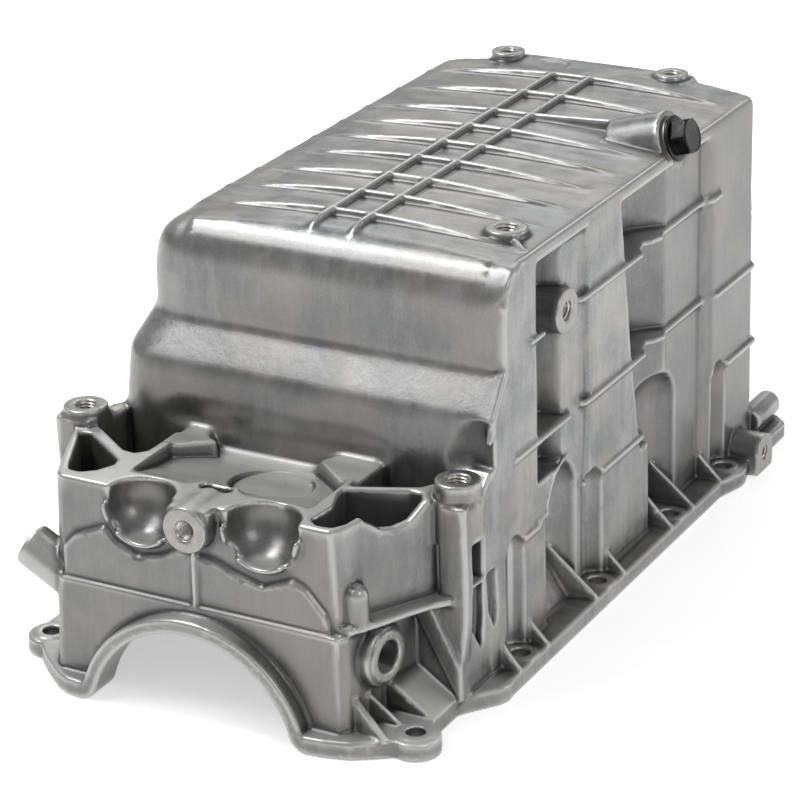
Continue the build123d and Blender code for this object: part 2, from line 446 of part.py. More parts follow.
# ---------------------------------------------------------------- hollow inside
with BuildPart() as hollow:
    # sump well, kept off the recesses and bolt clearances of the right wall
    with BuildSketch(Plane.XY.offset(-2.0)):
        Polygon((-71.0, 68.5), (79.0, 68.5), (99.0, 86.0), (99.0, 104.0), (96.0, 107.5), (86.0, 109.5), (83.0, 114.5), (82.8, 136.0), (87.0, 142.5),
                (97.6, 147.0), (97.6, 160.5), (93.5, 165.0), (93.5, 178.0), (99.5, 182.5), (99.5, 197.0), (84.0, 203.0), (79.0, 213.0), (79.0, 240.0),
                (81.0, 252.0), (81.0, 262.0), (84.0, 272.0), (96.0, 283.0), (96.0, 302.0), (94.0, 309.0), (94.0, 336.0), (99.5, 340.0), (99.5, 361.0),
                (97.0, 365.0), (68.0, 370.0), (59.0, 381.5), (43.0, 384.5), (-21.0, 384.5), (-38.0, 381.5), (-48.5, 370.0), (-77.0, 364.5),
                (-90.3, 354.0), (-90.3, 87.0), (-84.5, 75.0), align=None)
    extrude(amount=132.0)
    with BuildSketch(Plane.XY.offset(129.0)):
        Polygon((-63.0, 85.2), (79.0, 85.2), (99.0, 92.0), (99.0, 104.0), (96.0, 107.5), (86.0, 109.5), (83.0, 114.5), (82.8, 136.0), (87.0, 142.5),
                (97.6, 147.0), (97.6, 160.5), (93.5, 165.0), (93.5, 178.0), (99.5, 182.5), (99.5, 197.0), (84.0, 203.0), (79.0, 213.0), (79.0, 240.0),
                (81.0, 252.0), (81.0, 262.0), (84.0, 272.0), (96.0, 283.0), (96.0, 302.0), (94.0, 309.0), (94.0, 336.0), (99.5, 340.0), (99.5, 361.0),
                (97.0, 365.0), (68.0, 370.0), (59.0, 381.5), (43.0, 384.5), (-21.0, 384.5), (-38.0, 381.5), (-48.5, 370.0), (-77.0, 364.5),
                (-83.5, 354.0), (-83.5, 106.0), (-77.5, 91.5), align=None)
    extrude(amount=70.0)
    with BuildSketch(Plane.XZ.offset(-60.0)):
        with BuildLine():
            Polyline((-67.0, 190.4), (-74.0, 187.6), (-80.0, 181.0), (wall_l + skin, 171.0), (wall_l + skin, 150.0), (-90.3, 132.0), (-90.3, -1.5),
                     (100.0, -1.5), (100.0, 191.0))
            ThreePointArc((100.0, 191.0), (9.0, 194.0), (-67.0, 190.4))
        make_face()
    extrude(amount=-330.0, mode=Mode.INTERSECT)
    with BuildSketch(Plane.YZ.offset(-100.0)):
        Polygon((72.0, -1.5), (72.0, 132.0), (85.5, 150.0), (85.5, 176.0), (88.0, 184.0), (94.0, 190.5), (103.0, 194.2), (384.5, 194.2), (384.5, -1.5), align=None)
    extrude(amount=210.0, mode=Mode.INTERSECT)
    # the bolt and tool clearances keep their own wall
    with BuildSketch(Plane.XY.offset(-2.0)):
        with Locations((107.0, 139.0)):
            Circle(24.0)
        with Locations((107.5, bolt_ys[2])):
            Circle(26.0)
    extrude(amount=92.0, mode=Mode.SUBTRACT)
    # front housing, joined to the well
    with BuildSketch(Plane.XY.offset(-2.0)):
        Polygon((-70.0, -6.5), (66.5, -6.5), (69.5, 6.0), (77.5, 32.0), (80.0, 41.5), (88.0, 44.0), (95.0, 47.0), (95.0, 64.0), (88.0, 66.0), (88.0, 90.0), (-88.0, 90.0), (-94.0, 44.0), (-92.0, 38.0), align=None)
    extrude(amount=58.5)
    with BuildSketch(Plane.XY.offset(50.0)):
        Polygon((-44.0, 16.0), (43.0, 16.0), (43.0, 84.0), (-44.0, 84.0), align=None)
    extrude(amount=39.0)
    # crank arch bore
    with BuildSketch(Plane.XZ.offset(30.0)):
        with Locations((arch_x, arch_z)):
            Circle(arch_r)
    extrude(amount=-34.0)

with BuildPart() as oil_pan:
    add(casting.part)
    add(hollow.part, mode=Mode.SUBTRACT)
    # gasket face cut flat
    with BuildSketch(Plane.XY.offset(-90.0)):
        with Locations((0.0, 190.0)):
            Rectangle(300.0, 500.0)
    extrude(amount=90.0, mode=Mode.SUBTRACT)
    # inner corners of the two feet, rounded
    with BuildSketch(Plane.XZ.offset(6.5)):
        Polygon((-60.9, -1.0), (-50.0, -1.0), (-50.0, 6.52), (-52.25, 6.52), (-60.9, 9.0), align=None)
        Polygon((57.9, -1.0), (47.0, -1.0), (47.0, 6.52), (49.25, 6.52), (57.9, 9.0), align=None)
        with Locations((-60.9, 9.0), (57.9, 9.0)):
            Circle(9.0, mode=Mode.SUBTRACT)
    extrude(amount=20.0, mode=Mode.SUBTRACT)
    # pockets and scoops in the front housing that the sump block closed again
    with BuildSketch(Plane.XZ.offset(11.0)):
        with Locations((-30.6, 97.1)):
            Circle(19.3)
        with Locations((32.0, 98.8)):
            Circle(20.4)
        with Locations((-30.6, 116.5), (32.0, 117.5)):
            Rectangle(44.0, 40.0, mode=Mode.SUBTRACT)
    extrude(amount=5.4)
    with Locations((-30.6, -12.0, 97.1)):
        Sphere(17.0, mode=Mode.SUBTRACT)
    with Locations((32.0, -12.0, 98.8)):
        Sphere(18.0, mode=Mode.SUBTRACT)
    with BuildSketch(Plane.XY.offset(84.0)):
        with Locations((-30.6, -20.0)):
            Rectangle(30.0, 15.9)
        with Locations((32.0, -20.0)):
            Rectangle(33.0, 15.9)
    extrude(amount=30.0, mode=Mode.SUBTRACT)
    # corner plates under the sump, either side of the dish
    with BuildSketch(Plane.XY.offset(dish_z - 4)):
        Polygon((-47.0, 71.0), (-53.5, 71.0), (-53.5, 42.0), (-48.0, 38.0), (-29.5, 52.5), align=None)
        Polygon((18.5, 58.0), (45.0, 71.0), (52.0, 71.0), (51.5, 36.0), (48.0, 33.0), align=None)
    extrude(amount=deck_z - 1.2 - (dish_z - 4))
    # round pad recess in the dish, and the slot behind the front boss
    with BuildSketch(Plane.XY.offset(dish_z - 1.3)):
        with Locations((10.0, 34.0)):
            Circle(19.5)
    extrude(amount=7.0, mode=Mode.SUBTRACT)
    with BuildSketch(Plane.XY.offset(94.0)):
        with Locations((-2.0, 6.5)):
            SlotOverall(16.0, 6.5)
    extrude(amount=20.0, mode=Mode.SUBTRACT)
    # slot between the right boss pillar and the sump corner, shallow pockets under and beside it
    with BuildSketch(Plane.YZ.offset(91.0)):
        Polygon((42.0, 61.4), (57.2, 60.2), (57.2, 84.0), (42.0, 84.0), align=None)
    extrude(amount=22.0, mode=Mode.SUBTRACT)
    with BuildSketch(Plane.YZ.offset(100.0)):
        Polygon((41.5, 59.4), (56.6, 58.2), (57.0, 42.0), (55.2, 25.5), (41.2, 46.0), align=None)
    extrude(amount=12.0, mode=Mode.SUBTRACT)
    with BuildSketch(Plane.YZ.offset(102.4)):
        Polygon((60.2, 60.5), (67.6, 61.0), (69.4, 40.0), (66.6, 31.0), (62.4, 41.0), align=None)
    extrude(amount=10.0, mode=Mode.SUBTRACT)

    # --- sump top: ribs
    for ry in rib_ys:
        if ry == rib_ys[6]:
            continue
        with BuildSketch(Plane.XZ.offset(-(ry - 1.5))):
            with BuildLine():
                ThreePointArc((97.5, 196.2), (10.0, rib_crest_z), (-75.5, 193.8))
                Polyline((-75.5, 193.8), (-70.0, 192.5), (10.0, 196.0), (90.0, 194.0), (97.5, 196.2))
            make_face()
        extrude(amount=-3.0)
    with BuildSketch(Plane.XZ.offset(-(plug_y - 0.5))):
        with BuildLine():
            ThreePointArc((20.0, 202.55), (-30.0, 200.4), (-75.5, 193.8))
            Polyline((-75.5, 193.8), (-70.0, 192.5), (70.0, 194.0), (74.0, 205.4), (20.0, 202.55))
        make_face()
    extrude(amount=-3.0)
    for rx in long_rib_xs:
        with BuildSketch(Plane.YZ.offset(rx - 1.5)):
            Polygon((85.5, 183.0), (87.6, 190.5), (91.5, 196.2), (97.0, 200.4), (104.0, rib_crest_z), (345.5, rib_crest_z), (348.5, 201.0),
                    (349.0, 196.0), (104.0, 196.0), (92.0, 188.0), align=None)
        extrude(amount=3.0)
    # bosses on the sump top, carried down inside the skin
    with BuildSketch(Plane.XY.offset(183.0)):
        with Locations((83.0, 126.0)):
            Circle(10.0)
        with Locations((-41.0, 376.0), (54.5, 374.0)):
            Circle(9.0)
    extrude(amount=201.5 - 183.0)
    with BuildSketch(Plane(origin=(83.0, 126.0, 190.0), x_dir=(17.4, -15.5, 0.0), z_dir=(-15.5, -17.4, 0.0))):
        Polygon((0.0, 0.0), (22.0, 0.0), (22.0, 6.8), (9.0, 10.0), (0.0, 10.0), align=None)
    extrude(amount=1.2, both=True)

    # --- drain boss on its tilted axis
    with BuildSketch(drain_plane):
        Circle(14.6)
    extrude(amount=-30.0)
    with BuildSketch(drain_plane):
        Circle(16.2)
    extrude(amount=30.0, mode=Mode.SUBTRACT)
    with BuildSketch(drain_plane):
        Circle(plug_bore_r)
    extrude(amount=-33.0, mode=Mode.SUBTRACT)

    # --- holes
    with BuildSketch(Plane.XY.offset(flange_t - 2.0)):
        with Locations((bolt_x, bolt_ys[0]), (bolt_x, bolt_ys[1]), (bolt_x, bolt_ys[2]), (bolt_x + 1.3, bolt_ys[3]),
                       (-bolt_x, bolt_ys[0]), (-bolt_x, bolt_ys[1]), (-bolt_x, bolt_ys[2]), (-bolt_x - 1.3, bolt_ys[3]),
                       (ear_x, ear_right_y), (-ear_x, ear_left_y)):
            Circle(8.2)
    extrude(amount=2.9)
    with BuildSketch(Plane.XY.offset(-1.0)):
        with Locations((bolt_x, bolt_ys[0]), (bolt_x, bolt_ys[1]), (bolt_x, bolt_ys[2]), (bolt_x + 1.3, bolt_ys[3]),
                       (-bolt_x, bolt_ys[0]), (-bolt_x, bolt_ys[1]), (-bolt_x, bolt_ys[2]), (-bolt_x - 1.3, bolt_ys[3]),
                       (ear_x, ear_right_y), (-ear_x, ear_left_y), (-88.0, 387.5), (88.0, 387.5)):
            Circle(bolt_r)
    extrude(amount=30.0, mode=Mode.SUBTRACT)
    # threaded holes: two front bosses, front face boss, side bosses, sump top bosses
    with BuildSketch(Plane.XY.offset(boss_z)):
        with Locations((boss_x, boss_y), (-boss_x, boss_y)):
            Circle(4.9)
    extrude(amount=-22.0, mode=Mode.SUBTRACT)
    with BuildSketch(Plane.XZ.offset(22.0)):
        with Locations((-2.0, 95.0)):
            Circle(4.9)
    extrude(amount=-20.0, mode=Mode.SUBTRACT)
    with BuildSketch(Plane.YZ.offset(107.0)):
        with Locations((140.0, 159.5)):
            Circle(4.9)
    extrude(amount=-18.0, mode=Mode.SUBTRACT)
    with BuildSketch(Plane.YZ.offset(123.0)):
        with Locations((346.0, 10.2)):
            Circle(3.9)
    extrude(amount=-18.0, mode=Mode.SUBTRACT)
    with BuildSketch(Plane.XZ.offset(-396.0)):
        with Locations((104.0, 16.5)):
            Circle(3.9)
    extrude(amount=14.0, mode=Mode.SUBTRACT)
    with BuildSketch(Plane.XY.offset(201.5)):
        with Locations((83.0, 126.0)):
            Circle(4.9)
        with Locations((-41.0, 376.0), (54.5, 374.0)):
            Circle(3.9)
    extrude(amount=-14.0, mode=Mode.SUBTRACT)
    with BuildSketch(Plane.XY.offset(top_z - 1.6)):
        with Locations((-13.0, 371.0)):
            Circle(9.5)
    extrude(amount=6.0, mode=Mode.SUBTRACT)
    # oil port and tube socket bores
    with BuildSketch(port_plane):
        Circle(7.5)
    extrude(amount=-24.0, mode=Mode.SUBTRACT)
    with BuildSketch(tube_plane):
        Circle(7.5)
    extrude(amount=-25.0, mode=Mode.SUBTRACT)
    with BuildSketch(tube_plane):
        Circle(4.0)
    extrude(amount=-42.0, mode=Mode.SUBTRACT)

oil_pan.part.label = "oil_pan"

# ---------------------------------------------------------------- drain plug and washer
with BuildPart() as drain_plug:
    with BuildSketch(drain_plane.offset(washer_t)):
        Circle(11.6)
    extrude(amount=head_flange_t)
    with BuildSketch(drain_plane.offset(washer_t + head_flange_t)):
        RegularPolygon(radius=plug_hex / 2, side_count=6, major_radius=False, rotation=12)
    extrude(amount=head_l - 1.2)
    with BuildSketch(drain_plane.offset(washer_t + head_flange_t + head_l - 1.2)):
        RegularPolygon(radius=plug_hex / 2, side_count=6, major_radius=False, rotation=12)
    with BuildSketch(drain_plane.offset(washer_t + head_flange_t + head_l)):
        RegularPolygon(radius=plug_hex / 2 - 1.3, side_count=6, major_radius=False, rotation=12)
    loft(ruled=True)
    with BuildSketch(drain_plane.offset(washer_t)):
        Circle(plug_bore_r - 0.05)
    extrude(amount=-(plug_thread_l - 1.0))
    with BuildSketch(drain_plane.offset(washer_t - plug_thread_l + 1.0)):
        Circle(plug_bore_r - 0.05)
    with BuildSketch(drain_plane.offset(washer_t - plug_thread_l)):
        Circle(plug_bore_r - 1.1)
    loft()
drain_plug.part.label = "drain_plug"

with BuildPart() as drain_washer:
    with BuildSketch(drain_plane):
        Circle(11.2)
        Circle(7.2, mode=Mode.SUBTRACT)
    extrude(amount=washer_t)
drain_washer.part.label = "drain_washer"

# ---------------------------------------------------------------- files
# written with the middle of the base at the origin: the gasket face stays at z = 0
centre = Location((-1.2, -186.75, 0.0))
os.makedirs("parts", exist_ok=True)
for piece in (oil_pan.part, drain_plug.part, drain_washer.part):
    placed = piece.moved(centre)
    placed.label = piece.label
    export_step(placed, f"parts/{piece.label}.step")
    print(piece.label, round(piece.volume), "mm3", len(piece.solids()), "solid", piece.is_valid)
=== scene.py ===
import math
import time

import bpy
import numpy as np
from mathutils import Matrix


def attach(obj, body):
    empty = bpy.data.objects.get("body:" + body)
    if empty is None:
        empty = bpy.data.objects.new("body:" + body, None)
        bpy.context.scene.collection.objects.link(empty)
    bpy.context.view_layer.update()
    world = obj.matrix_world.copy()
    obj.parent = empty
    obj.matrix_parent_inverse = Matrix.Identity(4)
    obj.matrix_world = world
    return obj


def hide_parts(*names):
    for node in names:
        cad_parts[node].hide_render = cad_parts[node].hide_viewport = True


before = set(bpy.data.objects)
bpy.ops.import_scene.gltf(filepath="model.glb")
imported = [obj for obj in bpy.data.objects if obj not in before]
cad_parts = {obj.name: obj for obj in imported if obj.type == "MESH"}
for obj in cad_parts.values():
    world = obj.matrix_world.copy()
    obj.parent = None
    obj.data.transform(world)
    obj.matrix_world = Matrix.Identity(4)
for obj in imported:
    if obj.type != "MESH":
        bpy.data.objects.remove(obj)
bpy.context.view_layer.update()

import openvdb as vdb
from mathutils import Matrix, Vector

# Engine oil pan: the cast body is re-skinned from the frame's own solid as a rounded
# die casting, then given its threads, plug and materials.  Working coordinates below
# are millimetres with x = 0 on the crank line, y = 0 at the front right flange bolt
# and z = 0 on the gasket face; OFF moves them into the frame.
OFF = np.array([-1.2, -186.75, 0.0])
t_start = time.time()


def w(p):
    """Working millimetres to frame metres."""
    return tuple((np.array(p, float) + OFF) / 1000.0)


# ------------------------------------------------------------------ level set
H = 0.7          # voxel, mm
BAND = 11        # half width of the narrow band, voxels


def mesh_arrays(obj):
    me = obj.data
    me.calc_loop_triangles()
    co = np.zeros(len(me.vertices) * 3, np.float32)
    me.vertices.foreach_get("co", co)
    tri = np.zeros(len(me.loop_triangles) * 3, np.int32)
    me.loop_triangles.foreach_get("vertices", tri)
    return co.reshape(-1, 3), tri.reshape(-1, 3)


class Field:
    """Dense signed distance samples (mm) over the casting's box."""

    def __init__(self, points, triangles):
        xf = vdb.createLinearTransform(voxelSize=H)
        grid = vdb.FloatGrid.createLevelSetFromPolygons(
            points.astype(np.float32), triangles=triangles.astype(np.uint32), transform=xf, halfWidth=BAND)
        lo = np.floor(points.min(0) / H).astype(int) - 12
        hi = np.ceil(points.max(0) / H).astype(int) + 13
        self.lo, self.shape = lo, tuple(hi - lo)
        self.a = np.zeros(self.shape, np.float32)
        grid.copyToArray(self.a, ijk=tuple(int(v) for v in lo))
        self.xf = xf

    def box(self, p, q):
        """Slices of the array between two working-coordinate corners."""
        p = np.floor((np.array(p, float) + OFF) / H).astype(int) - self.lo
        q = np.ceil((np.array(q, float) + OFF) / H).astype(int) + 1 - self.lo
        p = np.maximum(p, 0)
        q = np.minimum(q, self.shape)
        return tuple(slice(int(a), int(b)) for a, b in zip(p, q))

    def axes(self, s):
        """Working coordinates of the samples in slices s, shaped to broadcast."""
        out = []
        for k in range(3):
            c = (np.arange(s[k].start, s[k].stop) + self.lo[k]) * H - OFF[k]
            sh = [1, 1, 1]
            sh[k] = len(c)
            out.append(c.reshape(sh).astype(np.float32))
        return out

    def sample(self, p):
        """Trilinear value at frame-mm points."""
        g = p / H - self.lo
        i = np.floor(g).astype(np.int64)
        i = np.clip(i, 0, np.array(self.shape) - 2)
        f = (g - i).astype(np.float32)
        a = self.a
        out = np.zeros(len(p), np.float32)
        for dx in (0, 1):
            for dy in (0, 1):
                for dz in (0, 1):
                    wt = (f[:, 0] if dx else 1 - f[:, 0]) * (f[:, 1] if dy else 1 - f[:, 1]) * (f[:, 2] if dz else 1 - f[:, 2])
                    out += wt * a[i[:, 0] + dx, i[:, 1] + dy, i[:, 2] + dz]
        return out

    def gradient(self, p, e=0.55):
        g = np.empty((len(p), 3), np.float32)
        for k in range(3):
            d = np.zeros(3)
            d[k] = e
            g[:, k] = self.sample(p + d) - self.sample(p - d)
        n = np.linalg.norm(g, axis=1, keepdims=True)
        return g / np.maximum(n, 1e-9)


def blur(a, sigma):
    """Separable Gaussian, sigma in samples."""
    r = max(1, int(math.ceil(2.6 * sigma)))
    k = np.exp(-0.5 * (np.arange(-r, r + 1) / sigma) ** 2)
    k = (k / k.sum()).astype(np.float32)
    for axis in range(3):
        out = a * k[r]
        n = a.shape[axis]
        for j in range(1, r + 1):
            lo = [slice(None)] * 3
            hi = [slice(None)] * 3
            lo[axis] = slice(0, n - j)
            hi[axis] = slice(j, n)
            out[tuple(hi)] += k[r - j] * a[tuple(lo)]
            out[tuple(lo)] += k[r + j] * a[tuple(hi)]
            edge = [slice(None)] * 3
            edge[axis] = slice(0, j)
            first = [slice(None)] * 3
            first[axis] = slice(0, 1)
            out[tuple(edge)] += k[r - j] * a[tuple(first)]
            edge[axis] = slice(n - j, n)
            first[axis] = slice(n - 1, n)
            out[tuple(edge)] += k[r + j] * a[tuple(first)]
        a = out
    return a


def smin(a, b, r):
    """Union with a fillet of about r."""
    h = np.maximum(r - np.abs(a - b), 0.0) / r
    return np.minimum(a, b) - h * h * r * 0.25


def smoothstep(x, a, b):
    t = np.clip((x - a) / (b - a), 0.0, 1.0)
    return t * t * (3 - 2 * t)


def window(f, s, p, q, soft):
    """1 inside the working-coordinate box p..q, falling to 0 over soft mm outside it."""
    x, y, z = f.axes(s)
    m = 1.0
    for c, a, b in ((x, p[0], q[0]), (y, p[1], q[1]), (z, p[2], q[2])):
        m = m * smoothstep(c, a - soft, a) * (1.0 - smoothstep(c, b, b + soft))
    return m


def add_bead(f, pts, r, fillet):
    """Raised bead along a polyline."""
    pts = np.array(pts, float)
    pad = r + 3.5
    for a, b in zip(pts[:-1], pts[1:]):
        s = f.box(np.minimum(a, b) - pad, np.maximum(a, b) + pad)
        x, y, z = f.axes(s)
        d = b - a
        L2 = float(d @ d)
        t = np.clip(((x - a[0]) * d[0] + (y - a[1]) * d[1] + (z - a[2]) * d[2]) / L2, 0, 1)
        dist = np.sqrt((x - a[0] - t * d[0]) ** 2 + (y - a[1] - t * d[1]) ** 2 + (z - a[2] - t * d[2]) ** 2) - r
        f.a[s] = smin(f.a[s], dist, fillet)


SOFT = 0.6       # general rounding of the die casting, mm
# forms with a broader rounding: (corner, corner, spread mm, blend mm)
WIDE = [
    ((-110, 60, 172), (90, 104, 197), 4.5, 9),
    ((-110, 60, 122), (92, 104, 163), 2.0, 8),
    ((-110, 58, 106), (92, 100, 118), 2.2, 6),
    ((-110, 100, 120), (-84, 385, 215), 3.0, 12),
    ((-110, 60, 178), (-66, 112, 215), 6.5, 9),
    ((-60, 84, 190), (90, 385, 206), 0.7, 3),
    ((-60, -24, 76), (60, -4, 112), 0.9, 4),
    ((-60, 57, 94), (46, 70, 114), 2.4, 4),
]
BEADS = [
    ([(102.6, 300, 195.7), (102.6, 362, 195.4)], 1.5, 1.2),
    ([(102.6, 256, 195.9), (102.9, 100, 195.9), (103.2, 92, 193.4), (103.1, 86.0, 188), (102.9, 83.2, 180),
      (102.9, 82.8, 151), (103.2, 77, 140), (103.4, 70, 131.5), (103.4, 66.5, 122)], 1.5, 1.2),
    # round the top of the two domed clearances of the right wall
    ([(105.9, 112.0, 65.0), (105.9, 119.0, 66.0), (105.6, 121.0, 73.0), (105.4, 126.0, 80.0), (105.2, 132.0, 84.0), (104.6, 139.0, 85.5), (103.4, 146.0, 84.8)], 1.0, 1.2),
]


# machined features stay crisp: (centre, axis, radius, bore radius)
tilt = math.radians(16.5)
DRAIN = ((97.2, 278.0, 199.5), (math.cos(tilt), 0.0, math.sin(tilt)))
FACES = [
    ((97.8, 47.0, 111.9), (0, 0, 1), 10.6, 4.9),
    ((-97.8, 47.0, 111.9), (0, 0, 1), 10.6, 4.9),
    ((-2.0, -22.0, 95.0), (0, -1, 0), 11.0, 4.9),
    ((107.0, 140.0, 159.5), (1, 0, 0), 11.0, 4.9),
    ((123.0, 346.0, 10.2), (1, 0, 0), 10.2, 3.9),
    ((104.0, 396.0, 16.5), (0, 1, 0), 7.0, 3.9),
    ((83.0, 126.0, 201.5), (0, 0, 1), 10.0, 4.9),
    ((-41.0, 376.0, 201.5), (0, 0, 1), 9.0, 3.9),
    ((54.5, 374.0, 201.5), (0, 0, 1), 9.0, 3.9),
    (DRAIN[0], DRAIN[1], 14.6, 6.95),
]
PORT = ((83.6, 7.0, 39.4), (0.99, -0.141, 0.0), 12.2, 7.5)
HOLES = [(107.5, 87.6), (107.5, 171.3), (107.5, 256.6), (108.8, 322.3), (-107.5, 87.6), (-107.5, 171.3),
         (-107.5, 256.6), (-108.8, 322.3), (99.7, 0.0), (-99.7, 11.2)]
# balls the die presses into the walls: (centre, radius)
BALLS = [((107.5, 256.6, 63.0), 21.5), ((107.0, 139.0, 64.0), 19.5), ((107.5, 87.6, 59.0), 9.2), ((107.5, 171.3, 59.0), 9.2),
         ((108.8, 322.3, 59.0), 9.2), ((-30.6, -12.0, 97.1), 17.0), ((32.0, -12.0, 98.8), 18.0)]


def cavity(f):
    """Air inside the casting: everything reached going up from the gasket face that ends in metal."""
    s = f.box((-93, -24, 0.7), (99, 386, 200))
    x, y, z = f.axes(s)
    run = np.logical_and.accumulate(f.a[s] > 0, axis=2)
    run &= ~run[:, :, -1:]
    run &= ~((x < -88) & (y < 36))
    return s, run


def casting_mesh(obj):
    co, tri = mesh_arrays(obj)
    f = Field(co * 1000.0, tri)
    print("level set", f.shape, round(time.time() - t_start, 1), "s")
    raw = f.a
    sc, air = cavity(f)
    x, y, z = f.axes(sc)
    # the same casting with its inside filled, so that its outside can be softened freely
    shut = air & (y > -5)
    full = raw.copy()
    part = full[sc]
    part[shut] = np.broadcast_to(-np.minimum(z, BAND * H), part.shape)[shut]
    foot = shut[:, :, 0]
    below = f.box((-93, -24, -8), (99, 386, -0.05))
    zb = f.axes(below)[2]
    slab = full[below[0], below[1], below[2].start:sc[2].start]
    zb = ((np.arange(below[2].start, sc[2].start) + f.lo[2]) * H).reshape(1, 1, -1).astype(np.float32)
    np.copyto(slab, np.minimum(slab, -zb + 0.0 * slab), where=foot[:, :, None])
    g = vdb.FloatGrid(float(BAND * H))
    g.copyFromArray(full, ijk=tuple(int(v) for v in f.lo), tolerance=0.0)
    g.transform = f.xf
    pts, tris, quads = g.convertToPolygons(isovalue=0.0, adaptivity=0.0)
    g = vdb.FloatGrid.createLevelSetFromPolygons(pts, triangles=tris, quads=quads, transform=f.xf, halfWidth=BAND)
    full = np.zeros(f.shape, np.float32)
    g.copyToArray(full, ijk=tuple(int(v) for v in f.lo))
    f.a = full
    print("outside", round(time.time() - t_start, 1), "s")
    for c, r in BALLS:
        s = f.box(np.array(c) - r - 3, np.array(c) + r + 3)
        x, y, z = f.axes(s)
        f.a[s] = np.maximum(f.a[s], r - np.sqrt((x - c[0]) ** 2 + (y - c[1]) ** 2 + (z - c[2]) ** 2))
    crisp = f.a.copy()
    # beads the die leaves along the sump's right top edge, down its front right edge and round the clearances
    for pts, r, k in BEADS:
        add_bead(f, pts, r, k)
    soft = blur(f.a, SOFT / H)
    for p, q, sg, pad in WIDE:
        s = f.box(np.array(p) - pad - 3 * sg, np.array(q) + pad + 3 * sg)
        m = window(f, s, p, q, pad)
        soft[s] = soft[s] * (1 - m) + blur(f.a[s], sg / H) * m
    # machined bosses, bores and the gasket face
    for c, ax, r, rb in FACES + [PORT]:
        c = np.array(c)
        s = f.box(c - 24, c + 24)
        x, y, z = f.axes(s)
        h = (x - c[0]) * ax[0] + (y - c[1]) * ax[1] + (z - c[2]) * ax[2]
        rr = np.sqrt(np.maximum((x - c[0]) ** 2 + (y - c[1]) ** 2 + (z - c[2]) ** 2 - h * h, 0))
        m = (1 - smoothstep(rr, r + 0.8, r + 2.4)) * smoothstep(h, -3.0, -1.4)
        m = np.maximum(m, (1 - smoothstep(rr, rb + 1.0, rb + 2.2)) * np.ones_like(h))
        soft[s] = soft[s] * (1 - m) + blur(crisp[s], 0.5) * m
    for hx, hy in HOLES:
        s = f.box((hx - 14, hy - 14, -3), (hx + 14, hy + 14, 20))
        x, y, z = f.axes(s)
        rr = np.sqrt((x - hx) ** 2 + (y - hy) ** 2)
        m = (1 - smoothstep(rr, 8.0, 9.5)) * np.ones_like(z)
        soft[s] = soft[s] * (1 - m) + blur(crisp[s], 0.5) * m
    s = f.box((-140, -60, -12), (140, 420, 4))
    x, y, z = f.axes(s)
    m = (1 - smoothstep(z, 0.5, 1.8)) * np.ones((1, 1, 1), np.float32)
    soft[s] = soft[s] * (1 - m) + blur(crisp[s], 0.5) * m
    # the inside again
    near = air.copy()
    for _ in range(3):
        wide = near.copy()
        for k in range(3):
            a = [slice(None)] * 3
            b = [slice(None)] * 3
            a[k] = slice(1, None)
            b[k] = slice(None, -1)
            wide[tuple(a)] |= near[tuple(b)]
            wide[tuple(b)] |= near[tuple(a)]
        near = wide
    inner = np.where(air, raw[sc], np.where(near, -np.abs(raw[sc]), -BAND * H)).astype(np.float32)
    np.maximum(soft[sc], inner, out=soft[sc])
    open_s = (sc[0], sc[1], slice(0, sc[2].start))
    mouth = air[:, :, 0]
    np.copyto(soft[open_s], np.maximum(soft[open_s], raw[open_s]), where=mouth[:, :, None])
    # never beyond the solid's own box
    for k, (a, b) in enumerate(zip(co.min(0) * 1000.0, co.max(0) * 1000.0)):
        c = (np.arange(f.shape[k]) + f.lo[k]) * H
        sh = [1, 1, 1]
        sh[k] = len(c)
        lim = np.maximum(a - c, c - b).reshape(sh).astype(np.float32)
        np.maximum(soft, lim, out=soft)
    f.a = soft
    del raw, crisp, full
    print("smoothed", round(time.time() - t_start, 1), "s")
    g = vdb.FloatGrid(float(BAND * H))
    g.copyFromArray(f.a, ijk=tuple(int(v) for v in f.lo), tolerance=0.0)
    g.transform = f.xf
    pts, tris, quads = g.convertToPolygons(isovalue=0.0, adaptivity=0.05)
    print("surface", len(pts), len(tris), len(quads), round(time.time() - t_start, 1), "s")
    faces = quads.tolist() + tris.tolist()
    me = bpy.data.meshes.new("casting")
    me.from_pydata((pts / 1000.0).tolist(), [], faces)
    me.validate()
    me.update()
    return me, f


def finish_normals(me, f):
    """Corner normals read from the field, so broad triangles still shade as the smooth casting."""
    n = len(me.loops)
    vi = np.zeros(n, np.int32)
    me.loops.foreach_get("vertex_index", vi)
    co = np.zeros(len(me.vertices) * 3, np.float32)
    me.vertices.foreach_get("co", co)
    co = co.reshape(-1, 3) * 1000.0
    tot = np.zeros(len(me.polygons), np.int32)
    me.polygons.foreach_get("loop_total", tot)
    cen = np.zeros(len(me.polygons) * 3, np.float32)
    me.polygons.foreach_get("center", cen)
    cen = np.repeat(cen.reshape(-1, 3) * 1000.0, tot, axis=0)
    fn = np.zeros(len(me.polygons) * 3, np.float32)
    me.polygons.foreach_get("normal", fn)
    fn = np.repeat(fn.reshape(-1, 3), tot, axis=0)
    p = co[vi]
    d = cen - p
    L = np.linalg.norm(d, axis=1, keepdims=True)
    nrm = f.gradient(p)
    side = f.gradient(p + d / np.maximum(L, 1e-9) * np.minimum(L * 0.35, 0.5))
    # shared normals on the rounded skin, each face's own beside a machined edge
    edge = (nrm * side).sum(1) < 0.93
    nrm[edge] = side[edge]
    bad = (nrm * fn).sum(1) < 0.2
    nrm[bad] = fn[bad]
    me.polygons.foreach_set("use_smooth", np.ones(len(me.polygons), bool))
    me.normals_split_custom_set(nrm.tolist())


def new_object(name, me):
    o = bpy.data.objects.new(name, me)
    bpy.context.scene.collection.objects.link(o)
    return o


